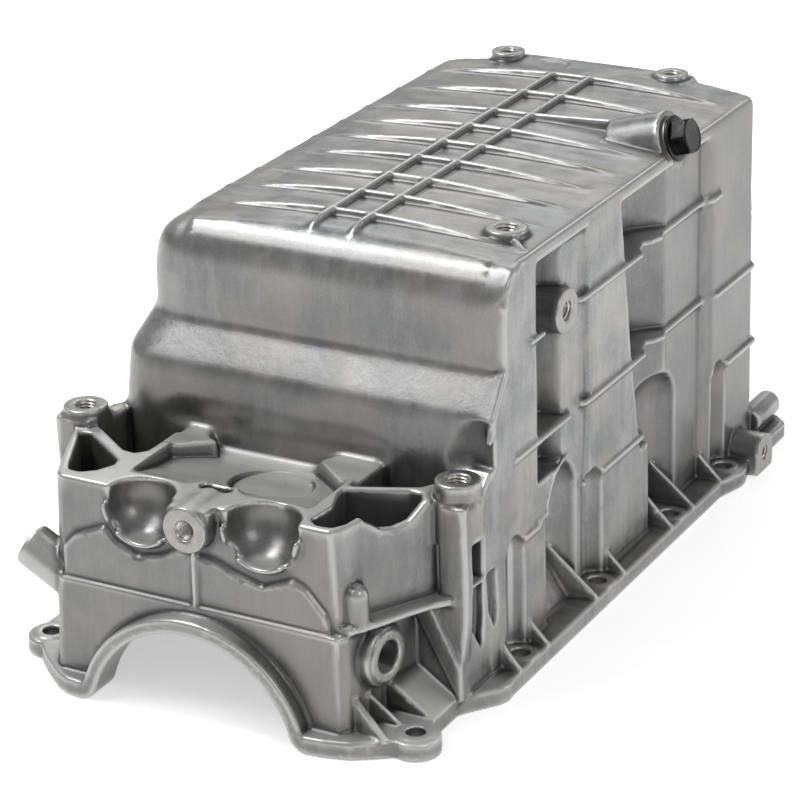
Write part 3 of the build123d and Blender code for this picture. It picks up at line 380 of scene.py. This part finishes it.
pan_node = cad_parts["oil_pan"]
me, field = casting_mesh(pan_node)
casting = new_object("pan_casting", me)
count = sum(len(p.vertices) - 2 for p in me.polygons)
mod = casting.modifiers.new("reduce", "DECIMATE")
mod.ratio = min(1.0, 188000.0 / count)
mod.use_collapse_triangulate = True
bpy.context.view_layer.update()
dg = bpy.context.evaluated_depsgraph_get()
slim = bpy.data.meshes.new_from_object(casting.evaluated_get(dg))
casting.modifiers.clear()
casting.data = slim
bpy.data.meshes.remove(me)
finish_normals(slim, field)
# how convex (above 0.5) or hollow (below 0.5) the skin is, for wear and painted highlight on the edges, dirt and
# painted shade in the hollows
co = np.zeros(len(slim.vertices) * 3, np.float32)
slim.vertices.foreach_get("co", co)
co = co.reshape(-1, 3) * 1000.0
flat = field.sample(co)
field.a = blur(field.a, 1.5 / H)
bend = np.clip(0.5 + (field.sample(co) - flat) * 0.8, 0.0, 1.0).astype(np.float32)
slim.attributes.new("bend", "FLOAT", "POINT").data.foreach_set("value", bend)
print("bend", np.percentile(bend, (1, 10, 50, 90, 99)).round(2))
print("casting", count, "->", len(slim.polygons), round(time.time() - t_start, 1), "s")
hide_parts("oil_pan")
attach(casting, "pan")


# ------------------------------------------------------------------ threads and plug
def frame_axes(axis):
    a = Vector(axis).normalized()
    ref = Vector((0, 0, 1)) if abs(a.z) < 0.9 else Vector((0, 1, 0))
    u = ref.cross(a).normalized()
    v = a.cross(u)
    return u, v, a


def ridge(h, th, pitch):
    """0 in the root of a right-hand 60 degree thread, 1 on its crest, with flats."""
    ph = (h / pitch - th / (2 * math.pi)) % 1.0
    return min(max((0.5 - abs(ph - 0.5)) * 2.6 - 0.25, 0.0), 1.0)


def thread_sleeve(name, centre, axis, wall, crest, pitch, depth, start):
    """Internal thread: a thin closed sleeve whose inner face carries the helix."""
    u, v, a = frame_axes(axis)
    c = Vector(w(centre))
    nt, per = 56, 9
    steps = int(depth / pitch * per)
    verts, faces = [], []
    for i in range(steps + 1):
        h = -start - depth * i / steps
        run = min(1.0, (-start - h) / pitch, (h + start + depth) / pitch + 0.02)
        for j in range(nt):
            th = 2 * math.pi * j / nt
            r = wall - 0.04 - (wall - 0.04 - crest) * ridge(h, th, pitch) * run
            verts.append(c + (u * math.cos(th) + v * math.sin(th)) * (r / 1000) + a * (h / 1000))
    base = len(verts)
    for i in (0, steps):
        h = -start - depth * i / steps
        for j in range(nt):
            th = 2 * math.pi * j / nt
            verts.append(c + (u * math.cos(th) + v * math.sin(th)) * ((wall + 0.5) / 1000) + a * (h / 1000))
    for i in range(steps):
        for j in range(nt):
            k = (j + 1) % nt
            faces.append((i * nt + j, i * nt + k, (i + 1) * nt + k, (i + 1) * nt + j))
    for j in range(nt):
        k = (j + 1) % nt
        faces.append((base + j, base + k, k, j))
        faces.append((base + nt + k, base + nt + j, steps * nt + j, steps * nt + k))
        faces.append((base + k, base + j, base + nt + j, base + nt + k))
    me = bpy.data.meshes.new(name)
    me.from_pydata([tuple(p) for p in verts], [], faces)
    me.validate()
    me.update()
    o = new_object(name, me)
    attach(o, "pan")
    return o


def lathe(name, centre, axis, rows, nt, ref=None):
    """Closed body of stations (height mm, radius function of angle)."""
    u, v, a = frame_axes(axis)
    c = Vector(w(centre))
    verts, faces = [], []
    for h, rad in rows:
        for j in range(nt):
            th = 2 * math.pi * j / nt
            verts.append(c + (u * math.cos(th) + v * math.sin(th)) * (rad(th) / 1000) + a * (h / 1000))
    m = len(rows)
    for i in range(m - 1):
        for j in range(nt):
            k = (j + 1) % nt
            faces.append((i * nt + j, i * nt + k, (i + 1) * nt + k, (i + 1) * nt + j))
    faces.append(tuple(range(nt))[::-1])
    faces.append(tuple((m - 1) * nt + j for j in range(nt)))
    me = bpy.data.meshes.new(name)
    me.from_pydata([tuple(p) for p in verts], [], faces)
    me.validate()
    me.update()
    return new_object(name, me)


def shade(o, angle=38):
    me = o.data
    me.polygons.foreach_set("use_smooth", np.ones(len(me.polygons), bool))
    me.update()
    bpy.context.view_layer.objects.active = o
    for x in bpy.context.selected_objects:
        x.select_set(False)
    o.select_set(True)
    bpy.ops.object.shade_smooth_by_angle(angle=math.radians(angle))
    o.select_set(False)


threads = []
for k, (name, c, ax, rr, rb) in enumerate((
        ("thread_boss_right", FACES[0][0], FACES[0][1], 0, 4.9), ("thread_boss_left", FACES[1][0], FACES[1][1], 0, 4.9),
        ("thread_boss_front", FACES[2][0], FACES[2][1], 0, 4.9), ("thread_boss_side", FACES[3][0], FACES[3][1], 0, 4.9),
        ("thread_boss_rail", FACES[4][0], FACES[4][1], 0, 3.9), ("thread_boss_rear", FACES[5][0], FACES[5][1], 0, 3.9),
        ("thread_top_front", FACES[6][0], FACES[6][1], 0, 4.9), ("thread_top_left", FACES[7][0], FACES[7][1], 0, 3.9),
        ("thread_top_right", FACES[8][0], FACES[8][1], 0, 3.9))):
    pitch = 1.5 if rb > 4 else 1.25
    threads.append(thread_sleeve(name, c, ax, rb, rb - 0.78, pitch, 12.0, 0.7))
threads.append(thread_sleeve("thread_drain", DRAIN[0], DRAIN[1], 6.95, 6.05, 1.5, 22.0, 0.9))
for o in threads:
    shade(o, 30)

wt, hf, hl = 1.5, 2.0, 8.2


def hexagon(th, af=17.0):
    x = (th + math.radians(12.0)) % (math.pi / 3) - math.pi / 6
    r = af / 2 / math.cos(x)
    return min(r, 9.62 - 0.0 * x)


def plug_rows():
    rows = []
    n = int(17.0 / 1.5 * 9)
    for i in range(n + 1):
        h = -15.5 + 17.0 * i / n
        run = min(1.0, max(0.0, (h + 15.5) / 1.6), max(0.0, (1.2 - h) / 1.2))
        lead = min(1.0, (h + 15.5) / 1.2)

        def rad(th, h=h, run=run, lead=lead):
            root = 5.98
            t = 1.0 - ridge(h, th, 1.5)
            full = root + (6.88 - root) * t * run
            return full if h < 1.0 else 6.2
        rows.append((h, (lambda th, f=rad, l=lead: f(th) - (1 - l) * 0.7)))
    rows.append((wt, lambda th: 6.2))
    for h, r in ((wt, 11.2), (wt + 0.25, 11.5), (wt + 0.6, 11.58), (wt + hf - 0.7, 11.5), (wt + hf - 0.3, 11.2), (wt + hf - 0.05, 10.6), (wt + hf, 10.0)):
        rows.append((h, lambda th, r=r: r))
    top = wt + hf + hl
    for i in range(14):
        h = wt + hf + 0.02 + (hl - 0.02) * (i / 13.0) ** 0.8
        drop = top - h
        cone = 8.15 + drop * 1.55
        rows.append((h, lambda th, cone=cone: min(hexagon(th), cone)))
    for h, r in ((top, 7.6), (top - 0.25, 7.2), (top - 0.3, 4.0), (top - 0.3, 0.6)):
        rows.append((h, lambda th, r=r: r))
    return rows


plug = lathe("drain_plug_body", DRAIN[0], DRAIN[1], plug_rows(), 120)
shade(plug, 24)
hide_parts("drain_plug")
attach(plug, "plug")


def washer_mesh():
    u, v, a = frame_axes(DRAIN[1])
    c = Vector(w(DRAIN[0]))
    prof = [(7.25, 0.15), (7.4, 0.0), (8.6, 0.0), (8.8, 0.12), (9.6, 0.12), (9.8, 0.0), (10.95, 0.0), (11.15, 0.2), (11.19, 0.75), (11.15, 1.3),
            (10.95, 1.5), (9.8, 1.5), (9.6, 1.38), (8.8, 1.38), (8.6, 1.5), (7.4, 1.5), (7.25, 1.35)]
    nt, m = 96, len(prof)
    verts = [c + (u * math.cos(2 * math.pi * j / nt) + v * math.sin(2 * math.pi * j / nt)) * (r / 1000) + a * (h / 1000)
             for j in range(nt) for r, h in prof]
    faces = [(j * m + i, j * m + (i + 1) % m, ((j + 1) % nt) * m + (i + 1) % m, ((j + 1) % nt) * m + i)
             for j in range(nt) for i in range(m)]
    me = bpy.data.meshes.new("drain_washer_ring")
    me.from_pydata([tuple(p) for p in verts], [], faces)
    me.validate()
    me.update()
    return new_object("drain_washer_ring", me)


washer = washer_mesh()
shade(washer, 35)
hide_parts("drain_washer")
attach(washer, "washer")


# ------------------------------------------------------------------ materials
DARK = (0.155, 0.158, 0.16)
LIGHT = (0.32, 0.322, 0.32)
WARM = (0.40, 0.37, 0.31)
COOL = (0.25, 0.28, 0.33)
# a dull tone for the front housing, also used as painted shade on front-facing faces and on the back part of the right
# wall
DULL_AND_SHADE = (0.15, 0.148, 0.145)
FRONT = 0.45
# strength of the painted shade on the back part of the right wall
REAR_SHADE = 0.55
METAL = 0.80
# strength of the painted light on the level parts of the front housing
DECK_LIGHT = 0.62
# strength of the painted shade on front-facing faces
AHEAD_SHADE = 0.42
# painted light colour for the level parts of the front housing and its ramp
PAINTED_LIGHT = (0.55, 0.555, 0.545)
# edge colour: wear plus painted highlight
WORN_AND_HIGHLIGHT = (0.46, 0.46, 0.455)
# hollow colour: dirt plus painted shade
DIRT_AND_SHADE = (0.07, 0.07, 0.072)
CUT = (0.32, 0.315, 0.30)


class Tree:
    def __init__(self, name):
        self.m = bpy.data.materials.new(name)
        self.m.use_nodes = True
        self.t = self.m.node_tree
        self.t.nodes.clear()
        self.out = self.t.nodes.new("ShaderNodeOutputMaterial")

    def link(self, a, b):
        self.t.links.new(a, b)

    def put(self, socket, value):
        if hasattr(value, "links"):
            self.link(value, socket)
        else:
            socket.default_value = value

    def coords(self):
        n = self.t.nodes.new("ShaderNodeTexCoord")
        return n.outputs["Object"]

    def scale(self, vec, s):
        n = self.t.nodes.new("ShaderNodeMapping")
        self.link(vec, n.inputs["Vector"])
        n.inputs["Scale"].default_value = s
        return n.outputs[0]

    def noise(self, vec, scale, detail=3.0, rough=0.5, distortion=0.0):
        n = self.t.nodes.new("ShaderNodeTexNoise")
        self.link(vec, n.inputs["Vector"])
        n.inputs["Scale"].default_value = scale
        n.inputs["Detail"].default_value = detail
        n.inputs["Roughness"].default_value = rough
        n.inputs["Distortion"].default_value = distortion
        return n.outputs[0]

    def math(self, op, a, b=0.0, c=0.0, clamp=False):
        n = self.t.nodes.new("ShaderNodeMath")
        n.operation = op
        n.use_clamp = clamp
        self.put(n.inputs[0], a)
        self.put(n.inputs[1], b)
        if op in ("MULTIPLY_ADD", "SMOOTH_MIN", "COMPARE"):
            self.put(n.inputs[2], c)
        return n.outputs[0]

    def vec(self, op, a, b=(0, 0, 0), scale=None):
        n = self.t.nodes.new("ShaderNodeVectorMath")
        n.operation = op
        self.put(n.inputs[0], a)
        if op not in ("LENGTH", "SCALE"):
            self.put(n.inputs[1], b)
        if scale is not None:
            self.put(n.inputs["Scale"], scale)
        return n.outputs["Value"] if op in ("LENGTH", "DOT_PRODUCT") else n.outputs[0]

    def ramp(self, x, a, b, lo=0.0, hi=1.0, smooth=True):
        n = self.t.nodes.new("ShaderNodeMapRange")
        n.interpolation_type = "SMOOTHSTEP" if smooth else "LINEAR"
        n.clamp = True
        self.put(n.inputs["Value"], x)
        for k, val in (("From Min", a), ("From Max", b), ("To Min", lo), ("To Max", hi)):
            n.inputs[k].default_value = val
        return n.outputs[0]

    def mix(self, fac, a, b, mode="MIX"):
        n = self.t.nodes.new("ShaderNodeMix")
        n.data_type = "RGBA"
        n.blend_type = mode
        n.clamp_factor = True
        self.put(n.inputs[0], fac)
        self.put(n.inputs[6], a)
        self.put(n.inputs[7], b)
        return n.outputs[2]

    def mixv(self, fac, a, b):
        n = self.t.nodes.new("ShaderNodeMix")
        n.data_type = "VECTOR"
        n.factor_mode = "UNIFORM"
        self.put(n.inputs[0], fac)
        n.inputs[4].default_value = a
        n.inputs[5].default_value = b
        return n.outputs[1]

    def split(self, vec):
        n = self.t.nodes.new("ShaderNodeSeparateXYZ")
        self.link(vec, n.inputs[0])
        return n.outputs

    def bump(self, height, strength, distance, normal=None):
        n = self.t.nodes.new("ShaderNodeBump")
        self.link(height, n.inputs["Height"])
        n.inputs["Strength"].default_value = strength
        n.inputs["Distance"].default_value = distance
        if normal is not None:
            self.link(normal, n.inputs["Normal"])
        return n.outputs[0]

    def surface(self, color, rough, metal, normal=None, **fixed):
        n = self.t.nodes.new("ShaderNodeBsdfPrincipled")
        self.put(n.inputs["Base Color"], color)
        self.put(n.inputs["Roughness"], rough)
        self.put(n.inputs["Metallic"], metal)
        if normal is not None:
            self.link(normal, n.inputs["Normal"])
        for k, val in fixed.items():
            n.inputs[k.replace("_", " ")].default_value = val
        self.link(n.outputs[0], self.out.inputs[0])
        return self.m


def rgb(r, g=None, b=None):
    return (r, r if g is None else g, r if b is None else b, 1.0)


def cast_material(name):
    t = Tree(name)
    p = t.coords()
    x, y, z = t.split(p)
    geo = t.t.nodes.new("ShaderNodeNewGeometry")
    nx, ny, nz = t.split(geo.outputs["Normal"])
    up = t.ramp(t.math("ABSOLUTE", nz), 0.55, 0.9)
    mottle = t.noise(p, 60.0, 4.0, 0.6, 0.3)
    grain = t.noise(p, 900.0, 2.0, 0.6)
    blotch = t.noise(p, 19.0, 2.0, 0.55, 0.5)
    # flow marks run up the walls and across the top
    q = t.vec("MULTIPLY", p, t.mixv(up, (1.0, 1.0, 0.13), (0.16, 1.0, 1.0)))
    flow = t.noise(q, 165.0, 4.0, 0.6, 0.4)
    v = t.math("ADD", t.math("ADD", t.math("MULTIPLY", blotch, 0.24), t.math("MULTIPLY", grain, 0.16)), t.math("ADD", t.math("MULTIPLY", mottle, 0.32), t.math("MULTIPLY", flow, 0.28)))
    v = t.ramp(v, 0.37, 0.63)
    base = t.mix(v, rgb(*DARK), rgb(*LIGHT))
    # dull brown and blue casts, as on a part left unfinished
    tint = t.ramp(t.noise(p, 27.0, 2.0, 0.5), 0.42, 0.66)
    base = t.mix(t.math("MULTIPLY", tint, 0.30), base, rgb(*WARM))
    cool = t.ramp(mottle, 0.42, 0.30)
    base = t.mix(t.math("MULTIPLY", cool, 0.14), base, rgb(*COOL))
    # the front housing is duller
    front = t.math("MULTIPLY", t.ramp(y, -0.120, -0.170), FRONT)
    base = t.mix(front, base, rgb(*DULL_AND_SHADE))
    # painted shade: every face that looks to the front is darkened as well
    ahead_shade = t.math("MULTIPLY", t.ramp(ny, -0.45, -0.85), AHEAD_SHADE)
    base = t.mix(ahead_shade, base, rgb(*DULL_AND_SHADE))
    # painted shade: the back part of the upright right wall, where it faces +x, is darkened too
    rear_shade = t.math("MULTIPLY", t.math("MULTIPLY", t.ramp(y, -0.02, 0.14), t.ramp(nx, 0.5, 0.9)), REAR_SHADE)
    base = t.mix(rear_shade, base, rgb(*DULL_AND_SHADE))
    # rubbed bright along its edges, partly a painted highlight; dark in its corners, partly dirt and partly painted
    # shade
    at = t.t.nodes.new("ShaderNodeAttribute")
    at.attribute_name = "bend"
    bend = at.outputs["Fac"]
    base = t.mix(t.ramp(bend, 0.57, 0.88, 0.0, 0.70), base, rgb(*WORN_AND_HIGHLIGHT))
    base = t.mix(t.ramp(bend, 0.46, 0.22, 0.0, 0.80), base, rgb(*DIRT_AND_SHADE))
    # painted light: the level parts of the front housing and its ramp are lightened, as if lit from above, and made
    # less metallic
    deck_light = t.math("MULTIPLY", t.ramp(y, -0.120, -0.128), t.ramp(nz, 0.84, 0.96))
    slope_light = t.math("MULTIPLY", t.math("MULTIPLY", t.ramp(x, 0.080, 0.086), t.ramp(z, 0.042, 0.034)), t.math("MULTIPLY", t.ramp(y, -0.146, -0.152), t.ramp(nz, 0.25, 0.55)))
    base = t.mix(t.math("MULTIPLY", deck_light, DECK_LIGHT), base, rgb(*PAINTED_LIGHT))
    base = t.mix(t.math("MULTIPLY", slope_light, 0.95), base, rgb(*PAINTED_LIGHT))
    deck_light = t.math("MAXIMUM", deck_light, t.math("MULTIPLY", slope_light, 1.8))
    rough = t.math("ADD", t.ramp(mottle, 0.3, 0.7, 0.30, 0.39), t.math("MULTIPLY", t.math("SUBTRACT", flow, 0.5), 0.18))
    height = t.math("ADD", t.math("MULTIPLY", flow, 0.00016), t.math("ADD", t.math("MULTIPLY", grain, 0.000028), t.math("MULTIPLY", mottle, 0.00016)))
    n = t.bump(height, 1.0, 1.0)
    metal = t.math("SUBTRACT", METAL, t.math("MULTIPLY", deck_light, 0.25))
    return t.surface(base, rough, metal, n)


def machined_material(name):
    """Turned and milled faces: fine rings round each face's own axis."""
    t = Tree(name)
    p = t.coords()
    ring = None
    for c, ax, r, _ in FACES + [PORT]:
        d = t.vec("SUBTRACT", p, w(c))
        h = t.vec("DOT_PRODUCT", d, tuple(ax))
        rr = t.vec("LENGTH", t.vec("SUBTRACT", d, t.vec("SCALE", tuple(ax), scale=h)))
        far = t.math("ADD", rr, t.math("MULTIPLY", t.math("ABSOLUTE", h), 4.0))
        ring = far if ring is None else t.math("MINIMUM", ring, far)
    turned = t.math("SINE", t.math("MULTIPLY", ring, 2 * math.pi / 0.0009))
    g = t.noise(p, 240.0, 3.0, 0.6)
    base = t.mix(t.ramp(g, 0.35, 0.65), rgb(*(0.8 * c for c in CUT)), rgb(*CUT))
    height = t.math("MULTIPLY", turned, 0.000010)
    return t.surface(base, t.ramp(g, 0.3, 0.7, 0.30, 0.42), 1.0, t.bump(height, 1.0, 1.0))


def thread_material():
    t = Tree("cut_thread")
    p = t.coords()
    g = t.noise(p, 900.0, 3.0, 0.6)
    base = t.mix(g, rgb(0.40, 0.385, 0.36), rgb(0.62, 0.60, 0.56))
    return t.surface(base, t.ramp(g, 0.3, 0.7, 0.26, 0.42), 1.0, t.bump(g, 0.3, 0.00006))


def plug_material():
    t = Tree("black_oxide")
    p = t.coords()
    a = t.noise(p, 120.0, 4.0, 0.6)
    b = t.noise(p, 900.0, 3.0, 0.6)
    wear = t.ramp(a, 0.52, 0.72)
    base = t.mix(wear, rgb(0.012, 0.012, 0.013), rgb(0.05, 0.048, 0.045))
    return t.surface(base, t.math("ADD", t.ramp(a, 0.3, 0.7, 0.2, 0.36), t.math("MULTIPLY", b, 0.08)), 0.85,
                     t.bump(b, 0.3, 0.00006), Coat_Weight=0.25, Coat_Roughness=0.18)


def washer_material():
    t = Tree("washer_skin")
    p = t.coords()
    a = t.noise(p, 300.0, 4.0, 0.6)
    base = t.mix(a, rgb(0.22, 0.21, 0.20), rgb(0.42, 0.41, 0.39))
    return t.surface(base, t.ramp(a, 0.3, 0.7, 0.28, 0.45), 1.0, t.bump(a, 0.3, 0.00008))


def paint(o, m):
    o.data.materials.clear()
    o.data.materials.append(m)


cast = cast_material("raw_die_cast")
paint(casting, cast)
casting.data.materials.append(machined_material("machined_face"))
me = casting.data
nf = len(me.polygons)
cen = np.zeros(nf * 3, np.float32)
nor = np.zeros(nf * 3, np.float32)
me.polygons.foreach_get("center", cen)
me.polygons.foreach_get("normal", nor)
cen = cen.reshape(-1, 3) * 1000.0 - OFF
nor = nor.reshape(-1, 3)
index = np.zeros(nf, np.int32)
for c, ax, r, rb in FACES + [PORT]:
    d = cen - np.array(c)
    h = d @ np.array(ax)
    rr = np.linalg.norm(d - np.outer(h, ax), axis=1)
    index[(nor @ np.array(ax) > 0.96) & (np.abs(h) < 0.7) & (rr < r + 0.3)] = 1
index[(nor[:, 2] < -0.96) & (cen[:, 2] < 0.5)] = 1
me.polygons.foreach_set("material_index", index)
me.update()
cut_m = thread_material()
for o in threads:
    paint(o, cut_m)
paint(plug, plug_material())
paint(washer, washer_material())
for name, m in (("oil_pan", cast), ("drain_plug", plug.data.materials[0]), ("drain_washer", washer.data.materials[0])):
    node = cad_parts[name]
    node.data.materials.clear()
    node.data.materials.append(m)

# ------------------------------------------------------------------ floor, light, camera
fm = bpy.data.meshes.new("floor")
fm.from_pydata([(-9, -9, 0), (9, -9, 0), (9, 9, 0), (-9, 9, 0)], [], [(0, 1, 2, 3)])
floor = new_object("floor", fm)
t = Tree("floor_white")
t.surface(rgb(0.92), 0.9, 0.0, None, Emission_Color=rgb(1.0), Emission_Strength=0.50, Specular_IOR_Level=0.0)
paint(floor, t.m)

world = bpy.data.worlds.new("studio")
world.use_nodes = True
world.node_tree.nodes["Background"].inputs[0].default_value = (1, 1, 1, 1)
world.node_tree.nodes["Background"].inputs[1].default_value = 0.50
bpy.context.scene.world = world


def softbox(name, place, look, size, power, tint=(1, 1, 1)):
    d = bpy.data.lights.new(name, "AREA")
    d.shape = "RECTANGLE"
    d.size, d.size_y = size
    d.energy = power
    d.color = tint
    o = bpy.data.objects.new(name, d)
    bpy.context.scene.collection.objects.link(o)
    o.location = place
    o.rotation_euler = (Vector(look) - Vector(place)).to_track_quat("-Z", "Y").to_euler()
    return o


softbox("overhead", (-0.95, -0.25, 1.9), (0, 0, 0.1), (0.8, 0.8), 20)
softbox("overhead_front", (-0.92, -1.05, 1.62), (0, 0, 0.1), (0.75, 0.6), 8)
softbox("side_right", (2.0, 1.1, 0.75), (0, 0, 0.1), (1.0, 1.0), 6)
softbox("key_right", (1.9, -1.0, 1.7), (0, 0, 0.1), (0.8, 0.8), 9)
softbox("top_back", (-0.7, 1.7, 1.5), (0, 0, 0.1), (1.4, 0.7), 8)

az, el, roll = math.radians(28.62), math.radians(21.89), math.radians(-1.2)
back = Vector((math.sin(az) * math.cos(el), -math.cos(az) * math.cos(el), math.sin(el)))
right = Vector((math.cos(az), math.sin(az), 0))
up = back.cross(right)
r2 = right * math.cos(roll) + up * math.sin(roll)
u2 = -right * math.sin(roll) + up * math.cos(roll)
eye = Vector(w((-7.34, 199.98, 99.97))) + back * 1.56552
cam_data = bpy.data.cameras.new("camera")
cam_data.sensor_fit = "HORIZONTAL"
cam_data.sensor_width = 36.0
cam_data.lens = 36.0 * 3164.69 / 800.0
cam_data.shift_x = (400.0 - 411.86) / 800.0
cam_data.shift_y = (347.65 - 392.5) / 800.0
cam_data.clip_end = 60.0
cam = bpy.data.objects.new("camera", cam_data)
bpy.context.scene.collection.objects.link(cam)
cam.matrix_world = Matrix(((r2.x, u2.x, back.x, eye.x), (r2.y, u2.y, back.y, eye.y), (r2.z, u2.z, back.z, eye.z), (0, 0, 0, 1)))
bpy.context.scene.camera = cam
bpy.context.scene.view_settings.view_transform = "Standard"

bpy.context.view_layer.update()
print("scene built in", round(time.time() - t_start, 1), "s")
